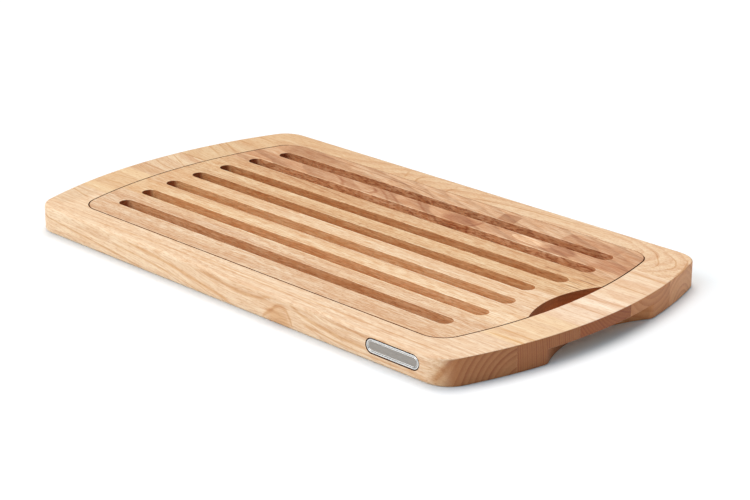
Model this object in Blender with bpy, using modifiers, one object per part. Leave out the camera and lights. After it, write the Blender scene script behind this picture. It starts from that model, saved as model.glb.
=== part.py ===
# Bread board with a crumb tray: a wooden tray of glued staves, with a slatted grid that lifts out.
# Metres, +Z up. The origin is under the middle of the tray, +X runs along the board, -Y is the front.
import math

import bmesh
import bpy
from mathutils import Matrix

# Tray: the outside
BOARD_LENGTH = 0.480
BOARD_WIDTH = 0.270
BOARD_THICKNESS = 0.020
END_BOW = 0.026  # how far the arc of each end stands out past its square corners
CORNER_RADIUS = 0.022
SIDE_TOP_RADIUS = 0.004
SIDE_BOTTOM_RADIUS = 0.0025
END_EDGE_RADIUS = 0.001
TRAY_STAVES = 5
SEAM_GAP = 0.0003  # the glue line between two staves

# Tray: the well for the grid, the ledges along its long sides and the crumb hollow
SIDE_RAIL = 0.0234
END_RAIL = 0.033
WELL_CORNER_RADIUS = 0.020
LEDGE_WIDTH = 0.008
FLOOR_THICKNESS = 0.005

# Tray: the undercut under each end, for the fingers
HOLD_RADIUS = 0.110
HOLD_DEPTH = 0.0192
HOLD_HEIGHT = 0.011

# Grid
GRID_THICKNESS = 0.009
GRID_PLAY = 0.0007  # the gap between the grid and the well's wall
SEAT_GAP = 0.0003  # between the grid's underside and the ledge
SLAT_JOINT_SHARE = 0.857  # of a slat's width, front to back, where a joint runs along it
SLOT_JOINT_SHARE = 0.156  # of a slot's width, back from its middle, where a joint runs into its ends
SLOTS = 7
SLOT_WIDTH = 0.0122
SLOT_SIDE_MARGIN = 0.0205  # from the grid's long side to the nearest slot
SLOT_LEFT_MARGIN = 0.0188  # from the middle of the grid's left end to a slot there
SLOT_RIGHT_MARGIN = 0.020
SLOT_ARC_RADIUS = 0.305  # of the arc that the slots' ends follow
SLOT_ROW_SHIFT = 0.0012  # the whole row of slots lies this much to the back
NOTCH_RADIUS = 0.080
NOTCH_DEPTH = 0.0125
NOTCH_MARGIN = 0.0207  # wood between the notch and the middle slot
NOTCH_ARC_RADIUS = 0.062  # of the arc that the slots beside the notch follow

# Metal plate in the front side
PLATE_LENGTH = 0.048
PLATE_HEIGHT = 0.010
PLATE_CORNER_RADIUS = 0.0048
PLATE_THICKNESS = 0.0012
PLATE_RIM = 0.0009
PLATE_RIM_HEIGHT = 0.0004
PLATE_FIT = 0.0003  # all round the plate and behind it
PLATE_INSET = 0.0001  # the rim lies this much below the side's surface
PLATE_FROM_END = 0.070  # from the board's end to the middle of the plate
PLATE_UP = 0.0117  # from the underside to the middle of the plate

OVERRUN = 0.004  # how far a cutter runs past the surface that it opens
END_STEPS = 28
CORNER_STEPS = 8
EDGE_STEPS = 4
ROUND_STEPS = 120
SLOT_END_STEPS = 12

# Sizes that follow from those
HALF_LENGTH = BOARD_LENGTH / 2
HALF_WIDTH = BOARD_WIDTH / 2
END_RADIUS = (HALF_WIDTH**2 + END_BOW**2) / (2 * END_BOW)
WELL_HALF_LENGTH = HALF_LENGTH - END_RAIL
WELL_HALF_WIDTH = HALF_WIDTH - SIDE_RAIL
GRID_HALF_LENGTH = WELL_HALF_LENGTH - GRID_PLAY
GRID_HALF_WIDTH = WELL_HALF_WIDTH - GRID_PLAY
GRID_UNDERSIDE = BOARD_THICKNESS - GRID_THICKNESS
LEDGE_TOP = GRID_UNDERSIDE - SEAT_GAP
NOTCH_CENTRE_X = GRID_HALF_LENGTH - NOTCH_DEPTH + NOTCH_RADIUS
SLOT_PITCH = (2 * (GRID_HALF_WIDTH - SLOT_SIDE_MARGIN) - SLOT_WIDTH) / (SLOTS - 1)

WOOD_PALE = (0.72, 0.48, 0.27)
WOOD_TAN = (0.62, 0.38, 0.22)
WOOD_RED = (0.52, 0.29, 0.16)
STEEL = (0.58, 0.57, 0.55)


def clear_scene():
    for obj in list(bpy.data.objects):
        bpy.data.objects.remove(obj, do_unlink=True)


def new_collection(name, hidden=False):
    collection = bpy.data.collections.new(name)
    bpy.context.scene.collection.children.link(collection)
    collection.hide_render = hidden
    return collection


def new_material(name, colour, roughness, metallic=0.0):
    material = bpy.data.materials.new(name)
    material.use_nodes = True
    shader = material.node_tree.nodes["Principled BSDF"]
    shader.inputs["Base Color"].default_value = (*colour, 1.0)
    shader.inputs["Roughness"].default_value = roughness
    shader.inputs["Metallic"].default_value = metallic
    return material


def new_object(name, mesh, collection):
    obj = bpy.data.objects.new(name, mesh)
    collection.objects.link(obj)
    if collection.hide_render:
        obj.hide_render = True
        obj.display_type = "WIRE"
    return obj


def arc(centre_x, centre_y, radius, start, end, steps):
    """Points along an arc, angles in radians."""
    angles = [start + (end - start) * i / steps for i in range(steps + 1)]
    return [(centre_x + radius * math.cos(a), centre_y + radius * math.sin(a)) for a in angles]


def bowed_outline(half_length, half_width, corner_radius):
    """A rectangle with bowed ends and rounded corners, anticlockwise."""
    bow_centre = half_length - END_RADIUS
    corner_y = half_width - corner_radius
    corner_x = bow_centre + math.sqrt((END_RADIUS - corner_radius) ** 2 - corner_y**2)
    lean = math.atan2(corner_y, corner_x - bow_centre)
    right = arc(corner_x, -corner_y, corner_radius, -math.pi / 2, -lean, CORNER_STEPS)
    right += arc(bow_centre, 0, END_RADIUS, -lean, lean, END_STEPS)[1:-1]
    right += arc(corner_x, corner_y, corner_radius, lean, math.pi / 2, CORNER_STEPS)
    return right + [(-x, -y) for x, y in right]


def round_end_outline(left, right, half_width, corner_radius):
    """A rectangle from left to right, with its four corners rounded."""
    x = (right - left) / 2 - corner_radius
    y = half_width - corner_radius
    centre = (left + right) / 2
    quarter = math.pi / 2
    points = []
    for turn, (corner_x, corner_y) in enumerate([(x, y), (-x, y), (-x, -y), (x, -y)]):
        start = turn * quarter
        points += arc(centre + corner_x, corner_y, corner_radius, start, start + quarter, SLOT_END_STEPS // 2)
    return points


def without_repeats(points):
    kept = []
    for point in points:
        if not kept or math.dist(point, kept[-1]) > SEAM_GAP / 10:
            kept.append(point)
    if math.dist(kept[0], kept[-1]) < SEAM_GAP / 10:
        kept.pop()
    return kept


def solid_from_outline(name, outline, low, high, collection, place=Matrix.Identity(4)):
    """A flat outline, filled and raised from low to high, as a mesh."""
    curve = bpy.data.curves.new(name, "CURVE")
    curve.dimensions = "2D"
    curve.fill_mode = "BOTH"
    curve.extrude = (high - low) / 2
    spline = curve.splines.new("POLY")
    points = without_repeats(outline)
    spline.points.add(len(points) - 1)
    for spot, (x, y) in zip(spline.points, points):
        spot.co = (x, y, 0, 1)
    spline.use_cyclic_u = True
    flat = bpy.data.objects.new(name + "_outline", curve)
    bpy.context.scene.collection.objects.link(flat)
    flat.matrix_world = place @ Matrix.Translation((0, 0, (low + high) / 2))
    bpy.context.view_layer.update()
    evaluated = flat.evaluated_get(bpy.context.evaluated_depsgraph_get())
    mesh = bpy.data.meshes.new_from_object(evaluated)
    mesh.name = name
    tidy_mesh(mesh)
    solid = new_object(name, mesh, collection)
    solid.matrix_world = flat.matrix_world.copy()
    bpy.data.objects.remove(flat, do_unlink=True)
    return solid


def tidy_mesh(mesh):
    """Weld the caps to the sides, join the flat cap triangles and turn the faces outward."""
    bm = bmesh.new()
    bm.from_mesh(mesh)
    bmesh.ops.remove_doubles(bm, verts=bm.verts, dist=SEAM_GAP / 100)
    flat_angle = math.radians(0.1)
    bmesh.ops.dissolve_limit(bm, angle_limit=flat_angle, verts=bm.verts, edges=bm.edges)
    bmesh.ops.recalc_face_normals(bm, faces=bm.faces)
    bm.to_mesh(mesh)
    bm.free()


def box(name, low, high, collection):
    size = [b - a for a, b in zip(low, high)]
    middle = [(a + b) / 2 for a, b in zip(low, high)]
    mesh = bpy.data.meshes.new(name)
    bm = bmesh.new()
    bmesh.ops.create_cube(bm, size=1, matrix=Matrix.Diagonal((*size, 1)))
    bm.to_mesh(mesh)
    bm.free()
    obj = new_object(name, mesh, collection)
    obj.location = middle
    return obj


def disc(name, radius, low, high, collection):
    mesh = bpy.data.meshes.new(name)
    bm = bmesh.new()
    bmesh.ops.create_cone(
        bm, cap_ends=True, segments=ROUND_STEPS, radius1=radius, radius2=radius, depth=high - low
    )
    bm.to_mesh(mesh)
    bm.free()
    obj = new_object(name, mesh, collection)
    obj.location.z = (low + high) / 2
    return obj


def turned(name, profile, collection):
    """A profile of radius and height, listed from the top down, turned about Z."""
    mesh = bpy.data.meshes.new(name)
    verts = [(radius, 0, height) for radius, height in profile]
    edges = [(i, i + 1) for i in range(len(verts) - 1)]
    mesh.from_pydata(verts, edges, [])
    obj = new_object(name, mesh, collection)
    screw = obj.modifiers.new("Turn", "SCREW")
    screw.steps = ROUND_STEPS
    screw.render_steps = ROUND_STEPS
    screw.use_merge_vertices = True
    screw.merge_threshold = SEAM_GAP / 10
    return obj


def combine(obj, cutter, operation):
    modifier = obj.modifiers.new(cutter.name, "BOOLEAN")
    modifier.object = cutter
    modifier.operation = operation
    modifier.solver = "EXACT"


def side_rounding(name, radius, side, up, cutters):
    """A cutter that rounds one edge of a long side over: side and up say which edge, as 1 or -1."""
    corner = arc(-radius, -radius, radius, 0, math.pi / 2, EDGE_STEPS)
    corner += [(-radius, OVERRUN), (OVERRUN, OVERRUN), (OVERRUN, -radius)]
    level = BOARD_THICKNESS if up > 0 else 0
    outline = [(side * (HALF_WIDTH + out), level + up * above) for out, above in corner]
    along_board = Matrix(((0, 0, 1, 0), (1, 0, 0, 0), (0, 1, 0, 0), (0, 0, 0, 1)))
    reach = HALF_LENGTH + OVERRUN
    return solid_from_outline(name, outline, -reach, reach, cutters, along_board)


def tray_blank(cutters):
    """The outline, raised: its edges are slightly rounded on the ends and fully along the long sides."""
    outline = bowed_outline(HALF_LENGTH, HALF_WIDTH, CORNER_RADIUS)
    blank = solid_from_outline("tray_blank", outline, 0, BOARD_THICKNESS, cutters)
    bevel = blank.modifiers.new("Rounding", "BEVEL")
    bevel.limit_method = "ANGLE"
    bevel.angle_limit = math.radians(60)
    bevel.width = END_EDGE_RADIUS
    bevel.segments = EDGE_STEPS
    for side, where in ((-1, "front"), (1, "back")):
        top = side_rounding(f"{where}_top_rounding", SIDE_TOP_RADIUS, side, 1, cutters)
        bottom = side_rounding(f"{where}_bottom_rounding", SIDE_BOTTOM_RADIUS, side, -1, cutters)
        combine(blank, top, "DIFFERENCE")
        combine(blank, bottom, "DIFFERENCE")
    return blank


def hold_cutters(cutters):
    """The undercut under each end: part of a large disc, with its lower edge slightly rounded."""
    widest = HOLD_RADIUS + END_EDGE_RADIUS
    rounding = arc(widest, END_EDGE_RADIUS, END_EDGE_RADIUS, math.pi, 3 * math.pi / 2, EDGE_STEPS)
    profile = [(0, HOLD_HEIGHT), (HOLD_RADIUS, HOLD_HEIGHT), *rounding, (widest, -OVERRUN), (0, -OVERRUN)]
    holds = []
    for side, name in ((1, "right_hold"), (-1, "left_hold")):
        hold = turned(name, profile, cutters)
        hold.location.x = side * (HALF_LENGTH - HOLD_DEPTH + HOLD_RADIUS)
        holds.append(hold)
    return holds


def well_cutter(cutters):
    """The well for the grid and the crumb hollow under it, less the ledges along its two long sides."""
    outline = bowed_outline(WELL_HALF_LENGTH, WELL_HALF_WIDTH, WELL_CORNER_RADIUS)
    well = solid_from_outline("well", outline, FLOOR_THICKNESS, BOARD_THICKNESS + OVERRUN, cutters)
    reach = WELL_HALF_LENGTH + OVERRUN
    inner, outer = WELL_HALF_WIDTH - LEDGE_WIDTH, WELL_HALF_WIDTH + OVERRUN
    under = FLOOR_THICKNESS - OVERRUN
    front = box("front_ledge", (-reach, -outer, under), (reach, -inner, LEDGE_TOP), cutters)
    back = box("back_ledge", (-reach, inner, under), (reach, outer, LEDGE_TOP), cutters)
    combine(well, front, "DIFFERENCE")
    combine(well, back, "DIFFERENCE")
    return well


def notch_cutter(cutters):
    notch = disc("notch", NOTCH_RADIUS, GRID_UNDERSIDE - OVERRUN, BOARD_THICKNESS + OVERRUN, cutters)
    notch.location.x = NOTCH_CENTRE_X
    return notch


def fall_back(radius, y):
    """How far an arc that crosses the middle line square falls back at this y."""
    return radius - math.sqrt(radius**2 - y**2)


def slot_middle(number):
    """The y of a slot's middle line, slots numbered from 1 at the front, before the row is shifted."""
    return (number - (SLOTS + 1) / 2) * SLOT_PITCH


def slot_ends(y):
    reach = GRID_HALF_LENGTH - fall_back(SLOT_ARC_RADIUS, y)
    left = SLOT_LEFT_MARGIN - reach
    right = reach - SLOT_RIGHT_MARGIN
    if abs(y) < NOTCH_ARC_RADIUS:
        beside_notch = GRID_HALF_LENGTH - NOTCH_DEPTH - NOTCH_MARGIN + fall_back(NOTCH_ARC_RADIUS, y)
        right = min(right, beside_notch)
    return left, right


def slot_cutters(cutters):
    slots = []
    for number in range(1, SLOTS + 1):
        y = slot_middle(number)
        left, right = slot_ends(y)
        outline = round_end_outline(left, right, SLOT_WIDTH / 2, SLOT_WIDTH / 2)
        low, high = GRID_UNDERSIDE - OVERRUN, BOARD_THICKNESS + OVERRUN
        place = Matrix.Translation((0, y + SLOT_ROW_SHIFT, 0))
        slots.append(solid_from_outline(f"slot_{number}", outline, low, high, cutters, place))
    return slots


def tray_joints():
    return [i * BOARD_WIDTH / TRAY_STAVES - HALF_WIDTH for i in range(1, TRAY_STAVES)]


def grid_joints():
    """The y of each joint in the grid: in two slats, in the middle slot and along the edge of the sixth."""
    into_slat = SLOT_WIDTH / 2 + SLAT_JOINT_SHARE * (SLOT_PITCH - SLOT_WIDTH)
    before_shift = [
        slot_middle(1) + into_slat,
        slot_middle(2) + into_slat,
        slot_middle(4) + SLOT_JOINT_SHARE * SLOT_WIDTH,
        slot_middle(6) - SLOT_WIDTH / 2 - SEAM_GAP / 4,
    ]
    return [y + SLOT_ROW_SHIFT for y in before_shift]


def staves(name, half_length, half_width, joints, bottom, collection):
    """Raw staves side by side, larger than the blank outside and a glue line apart inside."""
    nears = [-half_width - OVERRUN] + [joint + SEAM_GAP / 2 for joint in joints]
    fars = [joint - SEAM_GAP / 2 for joint in joints] + [half_width + OVERRUN]
    top = BOARD_THICKNESS + OVERRUN
    found = []
    for number, (near, far) in enumerate(zip(nears, fars), 1):
        low = (-half_length - OVERRUN, near, bottom - OVERRUN)
        high = (half_length + OVERRUN, far, top)
        stave = box(f"{name}_{number}", low, high, collection)
        found.append((stave, near, far))
    return found


def shade(obj, material):
    obj.data.materials.append(material)
    obj.data.shade_smooth()
    obj.data.set_sharp_from_angle(angle=math.radians(30))


def add_holder(name, height, collection):
    """An empty on the lift axis, which carries the pieces of one body."""
    holder = bpy.data.objects.new(name, None)
    holder.location.z = height
    holder.empty_display_size = BOARD_THICKNESS
    collection.objects.link(holder)
    return holder


def carry(holder, obj):
    obj.parent = holder
    obj.matrix_parent_inverse = Matrix.Translation(-holder.location)


def tray(parts, cutters, wood, plate_pocket):
    blank = tray_blank(cutters)
    well = well_cutter(cutters)
    holds = hold_cutters(cutters)
    holder = add_holder("tray", 0, parts)
    hold_reach = math.sqrt(HOLD_RADIUS**2 - (HOLD_RADIUS - HOLD_DEPTH) ** 2)
    for stave, near, far in staves("tray_stave", HALF_LENGTH, HALF_WIDTH, tray_joints(), 0, parts):
        combine(stave, blank, "INTERSECT")
        combine(stave, well, "DIFFERENCE")
        if near < hold_reach and far > -hold_reach:
            for cutter in holds:
                combine(stave, cutter, "DIFFERENCE")
        if near < -HALF_WIDTH:
            combine(stave, plate_pocket, "DIFFERENCE")
        shade(stave, wood)
        carry(holder, stave)


def grid(parts, cutters, woods):
    outline = bowed_outline(GRID_HALF_LENGTH, GRID_HALF_WIDTH, WELL_CORNER_RADIUS - GRID_PLAY)
    blank = solid_from_outline("grid_blank", outline, GRID_UNDERSIDE, BOARD_THICKNESS, cutters)
    slots = slot_cutters(cutters)
    notch = notch_cutter(cutters)
    holder = add_holder("grid", GRID_UNDERSIDE, parts)
    made = staves("grid_stave", GRID_HALF_LENGTH, GRID_HALF_WIDTH, grid_joints(), GRID_UNDERSIDE, parts)
    for (stave, near, far), wood in zip(made, woods):
        combine(stave, blank, "INTERSECT")
        for slot in slots:
            middle = slot.location.y
            if middle + SLOT_WIDTH > near and middle - SLOT_WIDTH < far:
                combine(stave, slot, "DIFFERENCE")
        combine(stave, notch, "DIFFERENCE")
        shade(stave, wood)
        carry(holder, stave)


def plate_outline(grow):
    half_length = PLATE_LENGTH / 2 + grow
    return round_end_outline(-half_length, half_length, PLATE_HEIGHT / 2 + grow, PLATE_CORNER_RADIUS + grow)


def plate_place():
    """The plate's own frame: X along the board, Z out of the front side."""
    spot = Matrix.Translation((HALF_LENGTH - PLATE_FROM_END, -HALF_WIDTH, PLATE_UP))
    return spot @ Matrix.Rotation(math.pi / 2, 4, "X")


def pocket_cutter(cutters):
    depth = PLATE_INSET + PLATE_THICKNESS + PLATE_FIT
    outline = plate_outline(PLATE_FIT)
    return solid_from_outline("plate_pocket", outline, -depth, OVERRUN, cutters, plate_place())


def side_plate(parts, cutters, steel):
    face = -PLATE_INSET
    plate = solid_from_outline(
        "side_plate", plate_outline(0), face - PLATE_THICKNESS, face, parts, plate_place()
    )
    field = solid_from_outline(
        "plate_field", plate_outline(-PLATE_RIM), face - PLATE_RIM_HEIGHT, OVERRUN, cutters, plate_place()
    )
    combine(plate, field, "DIFFERENCE")
    shade(plate, steel)
    return plate


def main():
    clear_scene()
    parts = new_collection("bread_board")
    cutters = new_collection("cutters", hidden=True)
    pale = new_material("tray_wood", WOOD_PALE, 0.5)
    tan = new_material("grid_wood_tan", WOOD_TAN, 0.5)
    red = new_material("grid_wood_red", WOOD_RED, 0.5)
    steel = new_material("plate_steel", STEEL, 0.35, 1.0)
    pocket = pocket_cutter(cutters)
    tray(parts, cutters, pale, pocket)
    grid(parts, cutters, [tan, pale, pale, pale, red])
    plate = side_plate(parts, cutters, steel)
    carry(bpy.data.objects["tray"], plate)


main()
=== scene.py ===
import math

import bmesh
import bpy
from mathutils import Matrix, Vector


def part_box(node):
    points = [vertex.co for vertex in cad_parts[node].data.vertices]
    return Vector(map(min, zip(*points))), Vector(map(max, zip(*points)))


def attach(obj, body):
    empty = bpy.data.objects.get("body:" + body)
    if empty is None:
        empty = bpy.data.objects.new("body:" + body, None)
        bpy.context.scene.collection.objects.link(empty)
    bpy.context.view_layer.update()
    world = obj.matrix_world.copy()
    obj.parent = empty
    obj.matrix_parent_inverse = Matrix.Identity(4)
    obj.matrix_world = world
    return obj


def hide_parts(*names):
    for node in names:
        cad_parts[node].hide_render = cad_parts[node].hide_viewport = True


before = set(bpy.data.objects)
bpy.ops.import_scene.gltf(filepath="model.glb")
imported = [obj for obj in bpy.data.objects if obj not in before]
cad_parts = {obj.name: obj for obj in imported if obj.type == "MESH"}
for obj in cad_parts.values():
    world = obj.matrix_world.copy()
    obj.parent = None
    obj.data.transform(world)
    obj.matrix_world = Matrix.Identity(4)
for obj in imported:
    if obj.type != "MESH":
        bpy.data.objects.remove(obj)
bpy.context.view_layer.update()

# Bread board with a crumb tray: five glued staves make the tray, five more make the slatted grid.
# Lengths are in metres, and +X runs along the board to the end with the finger notch.

mm = 0.001

board = {
    "halfLength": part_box("tray_stave_3")[1][0],
    "halfWidth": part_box("tray_stave_5")[1][1],
    "thickness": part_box("tray_stave_3")[1][2],
    "endBow": 26 * mm,          # how far the ends stand out past the corners
    "corner": 22 * mm,
    "topRound": 4 * mm,         # rounding of the long sides, above
    "footRound": 2.5 * mm,      # and below
    "endRound": 1 * mm,         # softening of the bowed ends
    "stave": 54 * mm,
}

well = {
    "sideRail": 23.4 * mm,
    "endRail": 33 * mm,
    "corner": 20 * mm,
    "lip": 0.3 * mm,
    "ledge": 8 * mm,
    "ledgeTop": 10.7 * mm,
    "floor": 5 * mm,
    "cove": 1.5 * mm,
}

hold = {"radius": 110 * mm, "depth": 19.2 * mm, "height": 11 * mm, "foot": 8 * mm, "lip": 0.3 * mm}

grid = {
    "halfLength": -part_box("grid_stave_3")[0][0],
    "halfWidth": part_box("grid_stave_5")[1][1],
    "bottom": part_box("grid_stave_3")[0][2],
    "lip": 0.35 * mm,
    "slots": 7,
    "slotWidth": 12.2 * mm,
    "slotPitch": 28.1 * mm,
    "slotShift": 1.2 * mm,
    "jointShift": 0.4 * mm,     # how far the joint at the sixth slot runs inside it
    "slotArc": 305 * mm,        # the slots' round ends follow this arc
    "slotLeft": 18.8 * mm,      # from the middle of the left end to that arc
    "slotRight": 20 * mm,
    "notchRadius": 80 * mm,
    "notchDepth": 12.5 * mm,
    "notchMargin": 20.7 * mm,   # from the notch to the middle slot
    "notchArc": 62 * mm,        # the slots beside the notch follow this arc
    "notchSoft": 7 * mm,
}

steps = {"end": 72, "corner": 16, "fillet": 8, "bay": 40, "round": 6, "lip": 4, "slotEnd": 24}
glueLine = 0.02 * mm            # half the gap between neighbouring staves
gapShadeSlot = 1                   # the material slot of the painted shade on the edge beside a narrow gap
gapShadeStrip = 0.4 * mm             # how far that painted shade goes down the wall
backFacing = 0.7                # an outline looks to the back where its outward y is above this
tiny = 1e-7                     # points closer than this are one point
shading = {"sharpFrom": 38, "weight": 100}      # edges are sharp from these degrees, and flat faces lead
endRadius = (board["halfWidth"] ** 2 + board["endBow"] ** 2) / (2 * board["endBow"])


def ease(share):
    share = min(max(share, 0), 1)
    return share * share * (3 - 2 * share)


# points along an arc as (x, y, outward x, outward y, softness)
def arc(centre, radius, start, finish, count, soft, hollow=False):
    points = []
    for i in range(count + 1):
        share = i / count
        angle = start + (finish - start) * share
        side = -1 if hollow else 1
        points.append((centre[0] + radius * math.cos(angle), centre[1] + radius * math.sin(angle),
                       side * math.cos(angle), side * math.sin(angle), soft(share)))
    return points


def mirrored(points):
    return [(x, -y, nx, -ny, soft) for x, y, nx, ny, soft in reversed(points)]


# the outline of the bowed right end, from the front side to the back side
def rightEnd(halfLength, halfWidth, corner, bay=None):
    bow = (halfLength - endRadius, 0)
    cornerY = halfWidth - corner
    cornerX = bow[0] + math.sqrt((endRadius - corner) ** 2 - cornerY ** 2)
    meet = math.atan2(cornerY, cornerX - bow[0])
    cornerArc = arc((cornerX, cornerY), corner, meet, math.pi / 2, steps["corner"], ease)
    if bay is None:
        half = arc(bow, endRadius, 0, meet, steps["end"] // 2, lambda s: 0)[:-1] + cornerArc
        return mirrored(half)[:-1] + half
    # the bay's disc and the end's arc are joined by a fillet that touches both
    disc = (halfLength - bay["depth"] + bay["radius"], 0)
    apart = disc[0] - bow[0]
    toBow = endRadius - bay["soft"]
    toDisc = bay["radius"] + bay["soft"]
    along = (toBow ** 2 - toDisc ** 2 + apart ** 2) / (2 * apart)
    across = math.sqrt(toBow ** 2 - along ** 2)
    fillet = (bow[0] + along, across)
    bowAngle = math.atan2(across, along)
    discAngle = math.atan2(across, apart - along)
    half = arc(disc, bay["radius"], math.pi, math.pi - discAngle, steps["bay"] // 2, lambda s: 0, True)[:-1]
    half += arc(fillet, bay["soft"], -discAngle, bowAngle, steps["fillet"], lambda s: 0)[:-1]
    half += arc(bow, endRadius, bowAngle, meet, steps["end"] // 3, lambda s: 0)[:-1] + cornerArc
    return mirrored(half)[:-1] + half


def turned(points):
    return [(-x, -y, -nx, -ny, soft) for x, y, nx, ny, soft in points]


# the same outline with its bay filled up to the bowed end
def flattened(points, halfLength):
    centre = halfLength - endRadius
    result = []
    for x, y, nx, ny, soft in points:
        rise = math.sqrt(endRadius ** 2 - y ** 2)
        if centre + rise - x > tiny and abs(y) < hold["radius"]:
            result.append((centre + rise, y, rise / endRadius, y / endRadius, 0))
        else:
            result.append((x, y, nx, ny, soft))
    return result


# one closed row of vertices; inset and height may change with the outline's softness
def ring(bm, outline, inset, height):
    row = []
    for x, y, nx, ny, soft in outline:
        d = inset(soft) if callable(inset) else inset
        z = height(soft) if callable(height) else height
        row.append(bm.verts.new((x - nx * d, y - ny * d, z)))
    return row


def bridge(bm, lower, upper, finish=0):
    count = len(lower)
    for i in range(count):
        j = (i + 1) % count
        corners = []
        for v in (lower[i], lower[j], upper[j], upper[i]):
            if v not in corners:
                corners.append(v)
        if len(corners) > 2:
            bm.faces.new(corners).material_index = finish(i) if callable(finish) else finish


# a flat face between closed rows, with the inner rows as holes
def fillFlat(bm, rows):
    edges = []
    for row in rows:
        edges += [bm.edges.get((row[i - 1], row[i])) for i in range(len(row))]
    bmesh.ops.triangle_fill(bm, use_beauty=True, use_dissolve=False, edges=edges)


# rows that turn an upright wall into a flat face, nearest the wall first
def roundedRows(bm, outline, radius, top, upward, count):
    rows = []
    for i in range(count + 1):
        turn = math.pi / 2 * i / count
        sign = 1 if upward else -1
        rows.append(ring(bm, outline,
                         lambda soft: radius(soft) * (1 - math.cos(turn)),
                         lambda soft: top - sign * radius(soft) * (1 - math.sin(turn))))
    return rows


def bridgeAll(bm, rows):
    for lower, upper in zip(rows, rows[1:]):
        bridge(bm, lower, upper)


def makeTray():
    bm = bmesh.new()
    halfLength = board["halfLength"]
    bay = {"radius": hold["radius"], "depth": hold["depth"], "soft": hold["foot"]}
    footEnd = rightEnd(halfLength, board["halfWidth"], board["corner"], bay)
    rimEnd = flattened(footEnd, halfLength)
    foot = footEnd + turned(footEnd)
    rim = rimEnd + turned(rimEnd)
    sideRound = lambda soft: board["endRound"] + (board["topRound"] - board["endRound"]) * soft
    baseRound = lambda soft: board["endRound"] + (board["footRound"] - board["endRound"]) * soft
    rows = roundedRows(bm, foot, baseRound, 0, False, steps["round"])
    rows.reverse()
    ceiling = ring(bm, foot, 0, hold["height"])
    bridgeAll(bm, rows + [ceiling])
    fillFlat(bm, [rows[0]])
    # the ceiling of the finger holds, with a soft lip where it meets the end
    lipInner, lipOuter = [], []
    for low, f, r in zip(ceiling, foot, rim):
        if abs(f[0] - r[0]) < tiny and abs(f[1] - r[1]) < tiny:
            lipInner.append(low)
            lipOuter.append(low)
        else:
            room = min(hold["lip"], abs(r[0] - f[0]) / 2)
            lipInner.append(bm.verts.new((r[0] - r[2] * room, r[1] - r[3] * room, hold["height"])))
            lipOuter.append(bm.verts.new((r[0], r[1], hold["height"] + room)))
    bridgeAll(bm, [ceiling, lipInner, lipOuter])
    top = roundedRows(bm, rim, sideRound, board["thickness"], True, steps["round"])
    bridge(bm, lipOuter, top[0])
    bridgeAll(bm, top)

    # the well, with its two ledges and the crumb hollow between them
    wellEnd = rightEnd(halfLength - well["endRail"], board["halfWidth"] - well["sideRail"], well["corner"])
    inner = wellEnd + turned(wellEnd)
    lipRows = []
    for i in range(steps["lip"] + 1):
        turn = math.pi / 2 * i / steps["lip"]
        lipRows.append(ring(bm, inner, -well["lip"] * (1 - math.sin(turn)),
                            board["thickness"] - well["lip"] * (1 - math.cos(turn))))
    ledgeRow = ring(bm, inner, 0, well["ledgeTop"])
    stripRow = ring(bm, inner, 0, board["thickness"] - well["lip"] - gapShadeStrip)
    bridgeAll(bm, lipRows[:2])
    for lower, upper in zip(lipRows[1:], lipRows[2:] + [stripRow]):
        # painted shade: the well's wall is darkened just below its lip, except where it looks to the back
        bridge(bm, lower, upper, lambda i: 0 if inner[i][3] > backFacing else gapShadeSlot)
    bridge(bm, stripRow, ledgeRow)
    fillFlat(bm, [top[-1], lipRows[0]])
    limit = board["halfWidth"] - well["sideRail"] - well["ledge"]

    def hollowRow(inset, reach, z, shared=None):
        row = []
        for i, (x, y, nx, ny, soft) in enumerate(inner):
            px, py = x - nx * inset, y - ny * inset
            if shared and abs(py) <= reach:
                row.append(shared[i])
            else:
                row.append(bm.verts.new((px, max(-reach, min(reach, py)), z)))
        return row

    hollow = [hollowRow(0, limit + well["lip"], well["ledgeTop"], ledgeRow)]
    for i in range(1, steps["lip"] + 1):
        turn = math.pi / 2 * i / steps["lip"]
        hollow.append(hollowRow(0, limit + well["lip"] * (1 - math.sin(turn)),
                                well["ledgeTop"] - well["lip"] * (1 - math.cos(turn))))
    for i in range(steps["lip"] + 1):
        turn = math.pi / 2 * i / steps["lip"]
        inset = well["cove"] * (1 - math.cos(turn))
        hollow.append(hollowRow(inset, limit - inset, well["floor"] + well["cove"] * (1 - math.sin(turn))))
    bridgeAll(bm, [ledgeRow] + hollow)
    fillFlat(bm, [hollow[-1]])
    bmesh.ops.remove_doubles(bm, verts=bm.verts, dist=tiny)
    bmesh.ops.dissolve_degenerate(bm, edges=bm.edges, dist=tiny / 10)
    bmesh.ops.recalc_face_normals(bm, faces=bm.faces)
    return bm


# how far an arc that crosses the middle line square falls back at this y
def fallBack(radius, y):
    return radius - math.sqrt(radius ** 2 - y ** 2)


def slotOutline(number):
    middle = (number - (grid["slots"] - 1) / 2) * grid["slotPitch"]
    reach = grid["halfLength"] - fallBack(grid["slotArc"], middle)
    left = grid["slotLeft"] - reach
    right = reach - grid["slotRight"]
    if abs(middle) < grid["notchArc"]:
        behindNotch = grid["halfLength"] - grid["notchDepth"] - grid["notchMargin"]
        right = min(right, behindNotch + fallBack(grid["notchArc"], middle))
    half = grid["slotWidth"] / 2
    y = middle + grid["slotShift"]
    flat = lambda s: 0
    return (arc((right - half, y), half, -math.pi / 2, math.pi / 2, steps["slotEnd"], flat)
            + arc((left + half, y), half, math.pi / 2, 3 * math.pi / 2, steps["slotEnd"], flat))


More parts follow.
